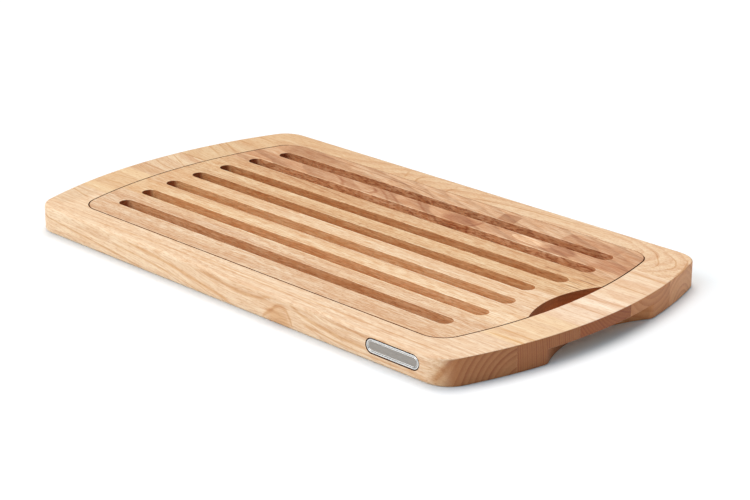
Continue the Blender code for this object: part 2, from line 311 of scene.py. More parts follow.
def makeGrid():
    bm = bmesh.new()
    notch = {"radius": grid["notchRadius"], "depth": grid["notchDepth"], "soft": grid["notchSoft"]}
    gap = board["halfWidth"] - well["sideRail"] - grid["halfWidth"]
    size = (grid["halfLength"], grid["halfWidth"], well["corner"] - gap)
    outline = rightEnd(*size, notch) + turned(rightEnd(*size))
    lip = lambda soft: grid["lip"]
    lower = roundedRows(bm, outline, lip, grid["bottom"], False, steps["lip"])
    upper = roundedRows(bm, outline, lip, board["thickness"], True, steps["lip"])
    bridgeAll(bm, list(reversed(lower)))
    # painted shade: the grid's edge is darkened along its gap, but not in the notch or at the back
    plain = []
    for x, y, nx, ny, soft in outline:
        behindEnd = x < grid["halfLength"] - fallBack(endRadius, y) - grid["lip"]
        inNotch = behindEnd and x > 0 and abs(y) < grid["notchRadius"] and ny * y <= 0
        plain.append(inNotch or ny > backFacing)
    stripRow = ring(bm, outline, 0, board["thickness"] - grid["lip"] - gapShadeStrip)
    bridge(bm, lower[0], stripRow)
    for near, far in zip([stripRow] + upper[:-2], upper[:-1]):
        bridge(bm, near, far, lambda i: 0 if plain[i] else gapShadeSlot)
    bridgeAll(bm, upper[-2:])
    tops, bottoms = [upper[-1]], [lower[-1]]
    for number in range(grid["slots"]):
        slot = slotOutline(number)
        rows = []
        for i in range(steps["lip"] + 1):
            turn = math.pi / 2 * i / steps["lip"]
            rows.append(ring(bm, slot, -grid["lip"] * (1 - math.sin(turn)),
                             board["thickness"] - grid["lip"] * (1 - math.cos(turn))))
        for i in reversed(range(steps["lip"] + 1)):
            turn = math.pi / 2 * i / steps["lip"]
            rows.append(ring(bm, slot, -grid["lip"] * (1 - math.sin(turn)),
                             grid["bottom"] + grid["lip"] * (1 - math.cos(turn))))
        bridgeAll(bm, rows)
        tops.append(rows[0])
        bottoms.append(rows[-1])
    fillFlat(bm, tops)
    fillFlat(bm, bottoms)
    bmesh.ops.remove_doubles(bm, verts=bm.verts, dist=tiny)
    bmesh.ops.recalc_face_normals(bm, faces=bm.faces)
    return bm


def finishMesh(bm, name, *materials):
    mesh = bpy.data.meshes.new(name)
    bm.to_mesh(mesh)
    bm.free()
    piece = bpy.data.objects.new(name, mesh)
    bpy.context.collection.objects.link(piece)
    for material in materials:
        mesh.materials.append(material)
    return piece


def smoothPiece(piece):
    piece.data.shade_smooth()
    piece.data.set_sharp_from_angle(angle=math.radians(shading["sharpFrom"]))
    weights = piece.modifiers.new("evenShade", "WEIGHTED_NORMAL")
    weights.keep_sharp = True
    weights.weight = shading["weight"]


# the stretch of a whole blank between two glue joints, with its cut faces closed
def cutStave(whole, low, high):
    bm = whole.copy()
    for place, direction in ((low, -1), (high, 1)):
        if place is None:
            continue
        everything = bm.verts[:] + bm.edges[:] + bm.faces[:]
        bmesh.ops.bisect_plane(bm, geom=everything, dist=tiny, plane_no=(0, direction, 0),
                               plane_co=(0, place - direction * glueLine, 0), clear_outer=True)
        rim = [e for e in bm.edges if len(e.link_faces) == 1]
        bmesh.ops.triangle_fill(bm, use_beauty=True, use_dissolve=False, edges=rim)
    bmesh.ops.recalc_face_normals(bm, faces=bm.faces)
    return bm


# a function that adds nodes to the material, with their inputs set or linked
def nodesOf(material):
    material.use_nodes = True
    tree = material.node_tree
    tree.nodes.clear()

    def add(kind, inputs=None, **settings):
        node = tree.nodes.new("ShaderNode" + kind)
        for name, value in settings.items():
            setattr(node, name, value)
        for name, value in (inputs or {}).items():
            if isinstance(value, bpy.types.NodeSocket):
                tree.links.new(value, node.inputs[name])
            else:
                node.inputs[name].default_value = value
        return node

    return add


def maths(add, operation, *values, clamp=False):
    return add("Math", dict(enumerate(values)), operation=operation, use_clamp=clamp).outputs[0]


def remap(add, value, low, high, newLow=0.0, newHigh=1.0, smooth=False):
    node = add("MapRange", {"Value": value, "From Min": low, "From Max": high,
                            "To Min": newLow, "To Max": newHigh},
               interpolation_type="SMOOTHSTEP" if smooth else "LINEAR")
    return node.outputs["Result"]


def blendColour(add, share, first, second, how="MIX"):
    node = add("Mix", {0: share, 6: first, 7: second}, data_type="RGBA", blend_type=how)
    return node.outputs[2]


def stretched(add, point, along, across):
    return add("VectorMath", {0: point, 1: (along, across, across)}, operation="MULTIPLY").outputs[0]


# a smooth curve through points of (place, offset) in mm, level before the first and after the last
def bend(add, value, points):
    start, finish = points[0][0], points[-1][0]
    offsets = [offset for _, offset in points]
    spare = 0.1 * (max(offsets) - min(offsets))
    if spare == 0:
        return offsets[0]
    low, high = min(offsets) - spare, max(offsets) + spare
    node = add("FloatCurve", {"Factor": 1.0, "Value": remap(add, value, start, finish)})
    places = [((place - start) / (finish - start), (offset - low) / (high - low))
              for place, offset in points]
    curve = node.mapping.curves[0]
    curve.points[0].location = places[0]
    curve.points[-1].location = places[-1]
    for place in places[1:-1]:
        curve.points.new(*place)
    node.mapping.extend = "HORIZONTAL"
    node.mapping.update()
    return remap(add, node.outputs[0], 0, 1, low, high)


level = [(-240, 0), (240, 0)]

woodLook = {
    "pale": (0.88, 0.61, 0.38),
    "dark": (0.60, 0.31, 0.14),
    "rightSheenTint": (1.0, 1.0, 1.0),   # painted sheen: what the tone turns to at the right end
    "ring": 4.5,                    # mm between growth rings
    "pith": (-60, -60),             # where the rings are centred, y and z in mm
    "rise": level,                  # how the pith climbs along the stave
    "sway": level,                  # and how it moves to the back
    "follow": 1.0,                  # how much of that sway the fibres follow
    "wobble": 3.0,
    "ripple": 1.0,
    "figure": 0.6,                  # strength of the growth rings, from 0 to 1 as all below
    "bands": 0.5,                   # of the slow bands of tone
    "fibre": 0.5,                   # of the lines along the grain
    "threads": 0.5,                 # of the finest lines
    "pores": 0.35,
    "flecks": 0.0,                  # of the spots and streaks on routed upright faces
    "wear": 0.0,                    # of the painted highlight on the rounded lips
    "shine": 0.35,
    "seed": 1.0,
    "patches": [],
    "lines": [],
    "uprightShadeTint": (1.0, 1.0, 1.0),    # of the painted shade on upright faces, mostly the routed slot walls
    "endTint": (0.60, 0.45, 0.36),
    "leftEndTint": (1.0, 1.0, 1.0),         # of the painted shade on the end grain near the left end
    "leftwardLitTint": (0.90, 1.12, 1.34),     # of the painted light on the end grain that looks to the left, toward the lamps
    "endPith": (0, -60),
    "endRing": 3.5,
    "endFigure": 0.9,
}

woodTones = {
    "bands": (0.91, 0.80, 0.69),
    "fibre": (0.86, 0.71, 0.57),
    "threads": (0.86, 0.73, 0.62),
    "pores": (0.70, 0.50, 0.36),
    "flecks": (0.64, 0.45, 0.36),
    "line": (0.83, 0.68, 0.53),
    "highlightTone": (1.16, 1.22, 1.28),
}

noiseRange = (0.3, 0.7)     # most of a noise's values lie between these

# how often each noise changes per mm along and across the grain, its detail and its roughness
grainNoise = {
    "slow": (0.008, 0.03, 2.0, 0.5),
    "quick": (0.06, 0.25, 1.0, 0.5),
    "bands": (0.006, 0.10, 2.0, 0.5),
    "fibre": (0.030, 0.60, 3.0, 0.7),
    "threads": (0.09, 1.1, 1.0, 0.5),
    "pores": (0.20, 1.2, 1.0, 0.5),
    "flecks": (0.16, 0.80, 3.0, 0.5),
}

# the values between which each effect fades in: of its noise, of x in mm, or of a face's normal
fadeRange = {
    "bands": (0.36, 0.64),
    "fibre": (0.38, 0.66),
    "threads": (0.44, 0.60),
    "pores": (0.56, 0.66),
    "flecks": (0.50, 0.60),
    "rightSheenTint": (-230, 230),
    "leftEndTint": (-120, -190),
    "leftwardLitTint": (0, -0.5),
    "endGrain": (0.42, 0.88),
    "cutAcross": (0.2, 0.8),
    "upright": (0.75, 0.25),
    "edgeStart": (0.3, 0.6),
    "edgeFinish": (0.995, 0.93),
}

woodFinish = {
    "roughness": (0.44, 0.58),
    "bump": 0.25,
    "bumpHeight": 0.12 * mm,
    "fibreHeight": 0.5,         # beside a pore's depth of 1
    "cutFibre": 0.35,           # how much of the fibres is left where they are cut across
    "endWobble": 0.5,           # how much of the rings' wobble shows in the end grain
    "apart": 1000,              # mm of wood between one seed and the next
}

# the late wood of a ring starts and peaks at these shares of its width
ringShape = {"start": 0.2, "peak": 0.92, "faintest": 0.25}


# how much late wood there is at each place, from 0 to 1
def growthRings(add, dy, dz, wobble, spacing):
    offset = add("CombineXYZ", {1: dy, 2: dz}).outputs[0]
    radius = add("VectorMath", {0: offset}, operation="LENGTH").outputs["Value"]
    phase = maths(add, "DIVIDE", maths(add, "ADD", radius, wobble), spacing)
    share = maths(add, "FRACT", phase)
    late = maths(add, "MULTIPLY", remap(add, share, ringShape["start"], ringShape["peak"], smooth=True),
                 remap(add, share, ringShape["peak"], 1.0, 1.0, 0.0, smooth=True))
    chance = add("TexWhiteNoise", {"W": maths(add, "FLOOR", phase)}, noise_dimensions="1D").outputs["Value"]
    return maths(add, "MULTIPLY", late, remap(add, chance, 0, 1, ringShape["faintest"], 1.0))


def tinted(add, share, colour, tint):
    return blendColour(add, share, colour, blendColour(add, 1.0, colour, (*tint, 1), "MULTIPLY"))


# a patch of another tone, with its middle and half sizes in mm; unrest makes its edge stray
def tintPatch(add, colour, point, unrest, patch):
    offset = add("VectorMath", {0: point, 1: patch["at"]}, operation="SUBTRACT").outputs[0]
    parts = add("SeparateXYZ", {0: offset})
    along = maths(add, "MULTIPLY_ADD", parts.outputs[1], patch.get("lean", 0.0), parts.outputs[0])
    offset = add("CombineXYZ", {0: along, 1: parts.outputs[1], 2: parts.outputs[2]}).outputs[0]
    offset = add("VectorMath", {0: offset, 1: patch["size"]}, operation="DIVIDE").outputs[0]
    away = add("VectorMath", {0: offset}, operation="LENGTH").outputs["Value"]
    away = maths(add, "MULTIPLY_ADD", maths(add, "SUBTRACT", unrest, 0.5), patch["unrest"], away)
    inside = remap(add, away, 1.0 + patch["blur"], 1.0 - patch["blur"], smooth=True)
    return tinted(add, inside, colour, patch["tint"])


# A line or band of another tone. "run" names the axis that it follows and the one that its path gives.
# Its path, its width, its blur and the fade at its ends are in mm, and unrest makes its edges stray.
def streak(run, *path, width=1.0, blur=0.8, fade=5, unrest=1.0, tint=woodTones["line"]):
    return {"run": run, "path": path, "half": width / 2, "blur": blur, "fade": fade, "unrest": unrest,
            "tint": tint}


def toneLine(add, colour, place, unrest, upright, line):
    along, side = (place[axis] for axis in line["run"])
    path, half, blur, fade = (line[key] for key in ("path", "half", "blur", "fade"))
    away = maths(add, "ABSOLUTE", maths(add, "SUBTRACT", side, bend(add, along, path)))
    away = maths(add, "MULTIPLY_ADD", maths(add, "SUBTRACT", unrest, 0.5), line["unrest"], away)
    inside = remap(add, away, half + blur, max(half - blur, 0), smooth=True)
    begun = remap(add, along, path[0][0] - fade, path[0][0] + fade, smooth=True)
    ended = remap(add, along, path[-1][0] + fade, path[-1][0] - fade, smooth=True)
    share = maths(add, "MULTIPLY", inside, maths(add, "MULTIPLY", begun, ended))
    if "y" not in line["run"]:
        share = maths(add, "MULTIPLY", share, upright)
    return tinted(add, share, colour, line["tint"])


def makeWood(name, **changes):
    look = dict(woodLook, **changes)
    material = bpy.data.materials.new(name)
    add = nodesOf(material)
    coord = add("TexCoord")
    point = add("VectorMath", {0: coord.outputs["Object"], 3: 1 / mm}, operation="SCALE").outputs[0]
    parts = add("SeparateXYZ", {0: point})
    place = dict(zip("xyz", parts.outputs))
    x, y, z = place.values()

    # the growth rings lie round a pith that rises and sways along the stave
    sway = bend(add, x, look["sway"])
    dy = maths(add, "SUBTRACT", maths(add, "SUBTRACT", y, look["pith"][0]), sway)
    dz = maths(add, "SUBTRACT", maths(add, "SUBTRACT", z, look["pith"][1]), bend(add, x, look["rise"]))
    fibreY = maths(add, "SUBTRACT", y, maths(add, "MULTIPLY", sway, look["follow"]))
    seed = look["seed"] * woodFinish["apart"]
    grain = add("CombineXYZ", {0: maths(add, "ADD", x, seed), 1: fibreY, 2: dz}).outputs[0]
    noise = {}
    for kind, (along, across, detail, roughness) in grainNoise.items():
        vector = stretched(add, grain, along, across)
        noise[kind] = add("TexNoise", {"Vector": vector, "Scale": 1.0, "Detail": detail,
                                       "Roughness": roughness}).outputs[0]
    wobble = maths(add, "MULTIPLY_ADD", maths(add, "SUBTRACT", noise["slow"], 0.5), look["wobble"] * 2,
                   maths(add, "MULTIPLY", maths(add, "SUBTRACT", noise["quick"], 0.5), look["ripple"]))
    rings = growthRings(add, dy, dz, wobble, look["ring"])

    def fade(kind, value, *ends, smooth=True):
        return remap(add, value, *fadeRange[kind], *ends, smooth=smooth)

    normal = add("SeparateXYZ", {0: coord.outputs["Normal"]})
    sidelong = maths(add, "ABSOLUTE", normal.outputs[0])
    endGrain = fade("endGrain", sidelong)
    fibreShare = fade("cutAcross", sidelong, 1.0, woodFinish["cutFibre"])
    flat = maths(add, "ABSOLUTE", normal.outputs[2])
    upright = fade("upright", flat)
    edge = maths(add, "MULTIPLY", fade("edgeStart", flat), fade("edgeFinish", flat))

    pale, dark = (*look["pale"], 1), (*look["dark"], 1)
    colour = blendColour(add, maths(add, "MULTIPLY", rings, look["figure"], clamp=True), pale, dark)
    # painted sheen, paler toward the right end
    colour = tinted(add, fade("rightSheenTint", x, smooth=False), colour, look["rightSheenTint"])
    bands = maths(add, "MULTIPLY", fade("bands", noise["bands"]), look["bands"])
    colour = tinted(add, bands, colour, woodTones["bands"])
    for patch in look["patches"]:
        colour = tintPatch(add, colour, point, noise["quick"], patch)
    for line in look["lines"]:
        colour = toneLine(add, colour, place, noise["quick"], upright, line)

    # the end grain shows the rings square on, and is darker because it drinks more oil
    endDy = maths(add, "SUBTRACT", y, look["endPith"][0])
    endDz = maths(add, "SUBTRACT", z, look["endPith"][1])
    endWobble = maths(add, "MULTIPLY", wobble, woodFinish["endWobble"])
    endRings = growthRings(add, endDy, endDz, endWobble, look["endRing"])
    ended = blendColour(add, maths(add, "MULTIPLY", endRings, look["endFigure"], clamp=True), pale, dark)
    ended = blendColour(add, 1.0, ended, (*look["endTint"], 1), "MULTIPLY")
    # painted shade on the end grain near the left end, where the slots' left ends lie
    ended = tinted(add, fade("leftEndTint", x, smooth=False), ended, look["leftEndTint"])
    # painted light: end grain looking to the left, toward the lamps, is paler and less orange than the shaded
    # right end
    ended = tinted(add, fade("leftwardLitTint", normal.outputs[0], smooth=False), ended, look["leftwardLitTint"])
    colour = blendColour(add, endGrain, colour, ended)
    # painted shade: upright faces take this tint, darker and redder on the grid's slot walls
    colour = tinted(add, upright, colour, look["uprightShadeTint"])

    # the fibres and pores show less where they are cut across, and the flecks only on upright faces
    for kind, where in (("fibre", fibreShare), ("threads", fibreShare), ("pores", fibreShare),
                        ("flecks", upright)):
        share = maths(add, "MULTIPLY", maths(add, "MULTIPLY", fade(kind, noise[kind]), look[kind]), where)
        colour = tinted(add, share, colour, woodTones[kind])
    # painted highlight: the rounded lips are lightened
    colour = tinted(add, maths(add, "MULTIPLY", edge, look["wear"]), colour, woodTones["highlightTone"])

    roughness = remap(add, noise["fibre"], *noiseRange, *woodFinish["roughness"])
    height = maths(add, "SUBTRACT", maths(add, "MULTIPLY", noise["fibre"], woodFinish["fibreHeight"]),
                   fade("pores", noise["pores"]))
    bump = add("Bump", {"Height": height, "Strength": woodFinish["bump"],
                        "Distance": woodFinish["bumpHeight"]}).outputs[0]
    shader = add("BsdfPrincipled", {"Base Color": colour, "Roughness": roughness, "Normal": bump,
                                    "Specular IOR Level": look["shine"]})
    add("OutputMaterial", {"Surface": shader.outputs[0]})
    return material


trayLooks = [
    # the front stave, with a flame in its side under one long wave
    {
        "pale": (0.915, 0.72, 0.505), "rightSheenTint": (0.96, 0.965, 1.0), "seed": 1.3, "ring": 5.0,
        "pith": (-155, -5), "figure": 0.32, "wobble": 1.2, "bands": 0.25, "fibre": 0.6, "threads": 0.6,
        "uprightShadeTint": (1.02, 0.98, 0.94), "endPith": (-75, -12), "endRing": 4.4,
        "endTint": (0.5, 0.262, 0.135),
        "rise": [(-240, 22), (-145, 19), (-68, 13), (-33, 6), (10, 0), (27, 0), (86, 0), (105, -3),
                 (146, -6), (240, -6)],
        "lines": [
            streak("xz", (-171, 21), (-102, 17.6), (-68, 14.7), (-45, 11.7), (-21, 8), (-2, 5), (10, 1.8),
                   width=1.8, blur=1.4, tint=(0.86, 0.71, 0.55)),
            streak("xz", (-33, 19.4), (-7, 16.5), (27, 13.7), (39, 14.7), (51, 18.2), (62, 20.4),
                   (74, 17.6), (86, 13.5), (105, 10.5), (129, 8.7), (146, 8.5), width=1.6, blur=1.6,
                   tint=(0.84, 0.69, 0.53)),
            streak("xz", (43.6, 1.8), (54, 10), (60, 14), (65, 14), (71, 8.7), (74.5, 1.8), width=1.8,
                   blur=2.0, tint=(0.84, 0.69, 0.54), fade=2),
            streak("xz", (-230, 15), (-160, 9), (-90, 2)),
            streak("xz", (-120, 12), (-60, 7), (-20, 1), tint=(0.88, 0.76, 0.62)),
            streak("xz", (80, 20), (146, 16), tint=(0.87, 0.74, 0.6)),
            streak("xz", (105, 22), (170, 17), tint=(0.87, 0.74, 0.6)),
            streak("xz", (84, 8), (112, 5.5), (140, 4), (176, 4), tint=(0.86, 0.72, 0.57)),
            streak("xz", (182, 5), (200, 3), width=3, blur=1.5, tint=(0.88, 0.74, 0.6)),
            streak("zx", (2, 206), (9, 210), (18, 217), width=3, blur=3, tint=(0.8, 0.63, 0.48)),
            streak("xy", (-236, -100), (-203, -100), width=36, blur=4, tint=(0.92, 0.91, 0.89)),
            streak("xy", (-228, -91), (-200, -97)),
            streak("xy", (-60, -119), (60, -122), (200, -124), tint=(0.9, 0.78, 0.64)),
            streak("xy", (-150, -127), (-20, -124), (90, -128), tint=(0.9, 0.78, 0.64)),
        ],
        "patches": [
            {"at": (60, -135, -2), "size": (13, 8, 15), "tint": (0.86, 0.72, 0.575), "unrest": 0.3,
             "blur": 0.35},
            {"at": (216, -128, 4), "size": (14, 13, 14), "tint": (0.84, 0.73, 0.61), "unrest": 0.3,
             "blur": 0.5},
        ],
    },
    {
        "pale": (0.86, 0.65, 0.4), "rightSheenTint": (1.04, 1.08, 1.18), "seed": 2.1, "ring": 4.0,
        "pith": (-54, -70), "endPith": (-250, 0), "endRing": 1.8, "endTint": (0.5, 0.234, 0.117),
        "endFigure": 1.0,
        "lines": [
            streak("xy", (-236, -47), (-208, -43), tint=(0.88, 0.76, 0.62)),
            streak("xy", (-234, -61), (-208, -58), tint=(0.88, 0.76, 0.62)),
            streak("xy", (205, -67), (236, -67), width=1.6, tint=(0.88, 0.74, 0.55)),
            streak("xy", (204, -77), (234, -76), width=2.0, tint=(0.88, 0.74, 0.55)),
        ],
    },
    {
        "pale": (0.84, 0.66, 0.45), "rightSheenTint": (1.13, 1.22, 1.42), "seed": 3.7, "ring": 5.5,
        "pith": (-10, -60), "endPith": (36, 61), "endRing": 2.4, "endTint": (0.465, 0.165, 0.048),
        "endFigure": 1.0,
        "sway": [(-240, 6), (-222, 0), (-205, -3), (0, -4), (240, -4)],
        "lines": [
            streak("xy", (-238, 20), (-208, 6.7)),
            streak("xy", (-237, 1.7), (-223, -3.3), (-208, -5)),
            streak("xy", (-238, -11), (-208, -13), width=1.8, tint=(0.78, 0.62, 0.48)),
            streak("xy", (-238, -20), (-208, -20), width=9, blur=2, tint=(0.93, 0.86, 0.78)),
            streak("xy", (206, 15), (240, 20), tint=(0.88, 0.76, 0.64)),
            streak("xy", (206, -1), (240, -1), tint=(0.84, 0.7, 0.58)),
            streak("xy", (206, -12), (240, -12), tint=(0.88, 0.76, 0.64)),
        ],
    },
    {
        "pale": (0.775, 0.57, 0.345), "rightSheenTint": (1.14, 1.22, 1.46), "seed": 4.9, "ring": 5.0,
        "pith": (40, -90), "endPith": (60, 45), "endRing": 5.0, "endTint": (0.81, 0.445, 0.255),
        "endFigure": 0.7,
        "sway": [(-240, 8), (-205, -6), (-150, -8), (240, -8)],
        "lines": [
            streak("xy", (-238, 75), (-208, 62), width=1.8, blur=1.2, tint=(0.83, 0.7, 0.56)),
            streak("xy", (-238, 68), (-208, 55), blur=1.2, tint=(0.88, 0.77, 0.64)),
            streak("xy", (-238, 58), (-208, 46), blur=1.2, tint=(0.88, 0.77, 0.64)),
            streak("xy", (-238, 28), (-208, 28), width=1.2, unrest=0, tint=(0.76, 0.6, 0.46)),
            streak("xy", (200, 75), (236, 74), width=3, tint=(0.88, 0.77, 0.64)),
            streak("xy", (204, 49), (238, 48), tint=(0.84, 0.7, 0.57)),
        ],
    },
    # the back stave, with long ovals that close round the far right corner
    {
        "pale": (0.77, 0.54, 0.312), "rightSheenTint": (1.1, 1.2, 1.42), "seed": 5.2, "ring": 5.0,
        "pith": (104, -20), "endPith": (102, -8), "endRing": 4.5, "endTint": (0.97, 0.63, 0.445),
        "endFigure": 0.8,
        "rise": [(-240, -22), (-100, -10), (-65, -2), (-13, 8), (16, 13), (60, 20), (110, 24), (150, 20),
                 (175, 13), (200, 4), (225, -6), (240, -12)],
        "lines": [
            streak("xy", (-225, 104), (-203, 100)),
            streak("xy", (-232, 85), (-206, 83)),
            streak("yx", (112, -60), (127, -68), width=1.6, blur=1.6, tint=(0.88, 0.76, 0.62)),
            streak("yx", (112, -47), (121, -50), (127, -45), width=1.8, tint=(0.76, 0.6, 0.43)),
            streak("yx", (112, -13), (121, -10), (126, -2), (129, 13), width=1.8, tint=(0.76, 0.6, 0.43)),
            streak("xy", (18, 115), (32, 118), (57, 122), (118, 126), tint=(0.78, 0.62, 0.46)),
            streak("yx", (88, 203), (95, 206), (102, 204), (109, 198), (117, 190), (124, 173)),
            streak("yx", (92, 213), (102, 217), (108, 215), (119, 203), (127, 173)),
            streak("yx", (92, 227), (107, 223), (122, 215)),
        ],
    },
]

gridLooks = [
    # the front stave is pinkish, with a whitish streak along its second slat
    {
        "pale": (0.85, 0.67, 0.48), "dark": (0.62, 0.38, 0.23), "pith": (-90, 80), "seed": 6.4,
        "figure": 0.4, "pores": 0.6, "uprightShadeTint": (0.94, 0.73, 0.56),
        "lines": [
            streak("xy", (-120, -70), (-20, -71), (80, -69), width=2.5, blur=2.0,
                   tint=(1.04, 1.08, 1.12)),
            # painted highlight along the near lip of the second slot
            streak("xy", (-190, -63.2), (-60, -63.2), blur=0.5, unrest=0.0, tint=(1.08, 1.12, 1.16)),
        ],
    },
    {
        "pale": (0.875, 0.68, 0.435), "dark": (0.68, 0.42, 0.22), "rightSheenTint": (1.08, 1.16, 1.34),
        "pith": (-50, -90), "seed": 7.1, "uprightShadeTint": (0.97, 0.77, 0.61),
    },
    {
        "pale": (0.83, 0.615, 0.385), "dark": (0.68, 0.43, 0.25), "rightSheenTint": (1.07, 1.17, 1.38),
        "pith": (-10, 120), "seed": 8.8, "uprightShadeTint": (1.02, 0.86, 0.69),
    },
    # the fourth has dark dashes at its right end
    {
        "pale": (0.825, 0.625, 0.395), "dark": (0.58, 0.34, 0.17), "pith": (30, -80), "seed": 9.5,
        "pores": 0.6, "uprightShadeTint": (0.9, 0.69, 0.53),
        "lines": [
            streak("xy", (-200, 43), (200, 43), width=15.5, blur=1.0, unrest=0.0, tint=(0.95, 0.9, 0.87)),
            streak("xy", (-130, 49), (-75, 41), tint=(0.8, 0.66, 0.52)),
            streak("xy", (-105, 50), (-48, 42), tint=(0.8, 0.66, 0.52)),
            streak("xy", (176, 18), (196, 17), width=0.7, blur=0.5, tint=(0.54, 0.36, 0.25)),
            streak("xy", (182, 24), (200, 23.5), width=0.7, blur=0.5, tint=(0.5, 0.33, 0.23)),
            streak("xy", (178, 31), (192, 30), width=0.7, blur=0.5, tint=(0.54, 0.36, 0.25)),
            streak("xy", (184, 38), (201, 37), width=0.7, blur=0.5, tint=(0.5, 0.33, 0.23)),
            streak("xy", (150, 41), (170, 40.4), width=0.7, blur=0.5, tint=(0.58, 0.4, 0.28)),
            streak("xy", (179, 46), (197, 45), width=0.7, blur=0.5, tint=(0.54, 0.36, 0.25)),
        ],
    },
    # the reddish back stave, full of swirls
    {
        "pale": (0.755, 0.505, 0.31), "dark": (0.4, 0.2, 0.09), "rightSheenTint": (1.05, 1.13, 1.25),
        "pith": (60, -30), "ring": 9.0, "seed": 10.2, "follow": 0.25, "uprightShadeTint": (0.98, 0.8, 0.68),
        "wobble": 9.0, "ripple": 3.0, "figure": 0.55, "flecks": 0.9,
        "sway": [(-240, 60), (-100, 20), (0, -20), (100, -60), (240, -110)],
        "lines": [
            streak("xy", (-200, 72.6), (200, 72.6), width=16, blur=1.0, unrest=0.0,
                   tint=(0.9, 0.8, 0.74)),
            streak("yx", (64, -82), (72, -90), (79, -106), width=3, blur=2.5, unrest=3,
                   tint=(0.76, 0.57, 0.42)),
            streak("yx", (64, -62), (68, -52), (72, -52), (79, -68), width=3, blur=2, unrest=3,
                   tint=(0.7, 0.5, 0.36)),
            streak("yx", (64, -66), (71, -80), (79, -94), width=16, blur=3, tint=(0.86, 0.77, 0.7)),
            streak("xy", (-82, 76), (-62, 72.5), (-45, 67), width=4, blur=2.5, tint=(1.12, 1.2, 1.26)),
            streak("yx", (63, -18), (71, -30), (79, -44), width=2, blur=2, unrest=3,
                   tint=(0.8, 0.63, 0.5)),
            streak("yx", (63, -30), (71, -40), (79, -54), width=2, blur=2, unrest=3,
                   tint=(0.8, 0.63, 0.5)),
            streak("yx", (63, 12), (71, -1), (79, -12), width=3, blur=2.5, unrest=3,
                   tint=(0.76, 0.57, 0.43)),
            streak("yx", (64, 22), (71, 16), (79, 10), width=14, blur=3, tint=(1.08, 1.14, 1.18)),
            streak("yx", (62, 50), (70, 56.6), (79, 56.6), width=2.4, blur=1.5, unrest=2,
                   tint=(0.7, 0.5, 0.37)),
            streak("xy", (-192, 103), (-125, 103), width=16, blur=4, tint=(0.88, 0.79, 0.72)),
            streak("xy", (-110, 107.5), (60, 107.5), width=2.5, blur=2, tint=(1.1, 1.16, 1.22)),
            streak("yx", (92, 67), (106, 63), width=17, unrest=0.4, tint=(0.7, 0.55, 0.45), fade=0.6),
            streak("yx", (92, 147), (106, 146), width=52, blur=1.5, unrest=2, tint=(0.82, 0.68, 0.59),
                   fade=2),
            streak("yx", (62, 190), (106, 192), width=40, blur=5, unrest=4, tint=(0.86, 0.74, 0.66),
                   fade=2),
            # painted highlight along the far lip of the sixth slot
            streak("xy", (-200, 63), (200, 63), width=2.4, blur=0.2, unrest=0.0, tint=(1.12, 1.2, 1.26)),
            streak("xy", (-151, 106), (-68, 102), (-35, 100), (-8, 92.5), width=0.8, blur=0.7,
                   tint=(0.66, 0.5, 0.38)),
        ],
        "patches": [
            {"at": (40, 70, 15), "size": (16, 9, 30), "tint": (0.78, 0.63, 0.54), "unrest": 0.6,
             "blur": 0.4},
            {"at": (136, 72, 15), "size": (16, 8, 30), "tint": (0.76, 0.62, 0.54), "unrest": 0.4,
             "blur": 0.2},
            {"at": (109, 73, 15), "size": (19, 5.5, 30), "lean": 1.0, "tint": (1.36, 1.6, 1.8),
             "unrest": 0.15, "blur": 0.05},
        ],
    },
]
for look in gridLooks:
    look.update(bands=0.7, fibre=0.9, threads=1.0, wear=1.0, endTint=(0.82, 0.47, 0.33),
                leftEndTint=(0.55, 0.44, 0.36))
    look.setdefault("flecks", 0.2)

# a painted highlight, a light line, runs along the near edge of every slot, on the stave that this edge
# belongs to
slotHighlight = {"staves": (0, 1, 1, 2, 3, 3, 4), "away": 0.7, "reach": 172}
for number, stave in enumerate(slotHighlight["staves"]):
    near = (number - (grid["slots"] - 1) / 2) * grid["slotPitch"] + grid["slotShift"] - grid["slotWidth"] / 2
    y = near / mm - slotHighlight["away"]
    gridLooks[stave].setdefault("lines", []).append(
        streak("xy", (-slotHighlight["reach"], y), (slotHighlight["reach"], y), width=0.7, blur=0.4, unrest=0.4,
               tint=(1.10, 1.17, 1.25)))


def dressStaves():
    # a dark wood that paints the shade in narrow gaps: along the grid's edge, the well's lip and the plate's
    # pocket
    gapShadeWood = makeWood("gapShadeWood", pale=(0.17, 0.055, 0.02), dark=(0.11, 0.035, 0.012), shine=0.0, seed=11.7)
    tray = makeTray()
    joints = [None] + [board["stave"] * (k - 1.5) for k in range(4)] + [None]
    for i, look in enumerate(trayLooks):
        node = f"tray_stave_{i + 1}"
        wood = makeWood(f"trayWood{i + 1}", **look)
        piece = finishMesh(cutStave(tray, joints[i], joints[i + 1]), f"tray_{i + 1}", wood, gapShadeWood)
        if i == 0:
            cutPocket(piece, gapShadeWood)
        smoothPiece(piece)
        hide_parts(node)
        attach(piece, "tray")
    tray.free()
    print("tray staves made")

    whole = makeGrid()
    ends = [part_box(f"grid_stave_{k + 1}")[1][1] for k in range(4)]
    starts = [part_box(f"grid_stave_{k + 2}")[0][1] for k in range(4)]
    joints = [None] + [(a + b) / 2 for a, b in zip(ends, starts)] + [None]
    joints[4] += grid["jointShift"]
    for i, look in enumerate(gridLooks):
        node = f"grid_stave_{i + 1}"
        wood = makeWood(f"gridWood{i + 1}", **look)
        piece = finishMesh(cutStave(whole, joints[i], joints[i + 1]), f"grid_{i + 1}", wood, gapShadeWood)
        smoothPiece(piece)
        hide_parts(node)
        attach(piece, "grid")
    whole.free()
    print("grid staves made")


